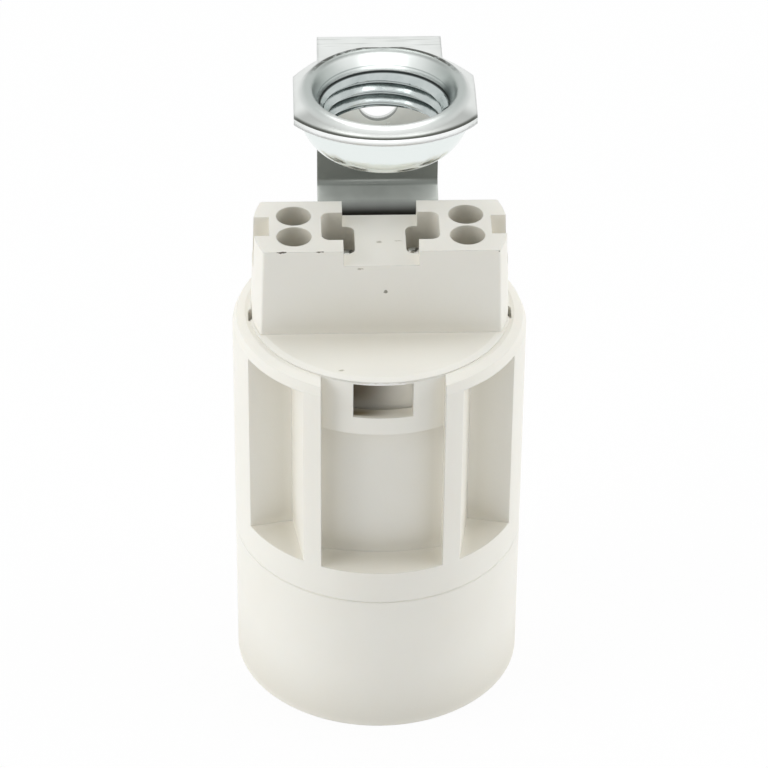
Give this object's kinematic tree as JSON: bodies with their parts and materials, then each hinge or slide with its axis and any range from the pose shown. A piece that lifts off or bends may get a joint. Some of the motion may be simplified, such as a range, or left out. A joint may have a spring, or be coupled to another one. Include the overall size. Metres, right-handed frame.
{
  "type": "lamp holder",
  "caption": "Candle lamp holder with a moulded barrel, push-in wire terminals and a steel strap that ends in a threaded ring for a hollow rod.",
  "frame": {"origin": "centre of the mouth's rim, the flat lower end that the part stands on", "axes": "+Z is the lamp axis, up towards the threaded ring; -Y is the front; the strap is at the back, +Y"},
  "size_m": [0.0238, 0.0238, 0.0549],
  "materials": {
    "moulded_plastic": "fine satin, warm white",
    "zinc_plated_steel": "bright zinc plate",
    "contact_brass": "plain rolled brass",
    "spring_steel": "plain stainless spring strip"
  },
  "bodies": {
    "root": {"lamp_collar": "moulded_plastic", "housing": "moulded_plastic", "terminal_insert": "moulded_plastic", "fixing_strap": "zinc_plated_steel", "thread_ring": "zinc_plated_steel", "centre_contact": "contact_brass", "side_contact": "contact_brass", "clamp_spring_left_front": "spring_steel", "clamp_spring_left_back": "spring_steel", "clamp_spring_right_front": "spring_steel", "clamp_spring_right_back": "spring_steel"}
  },
  "joints": []
}
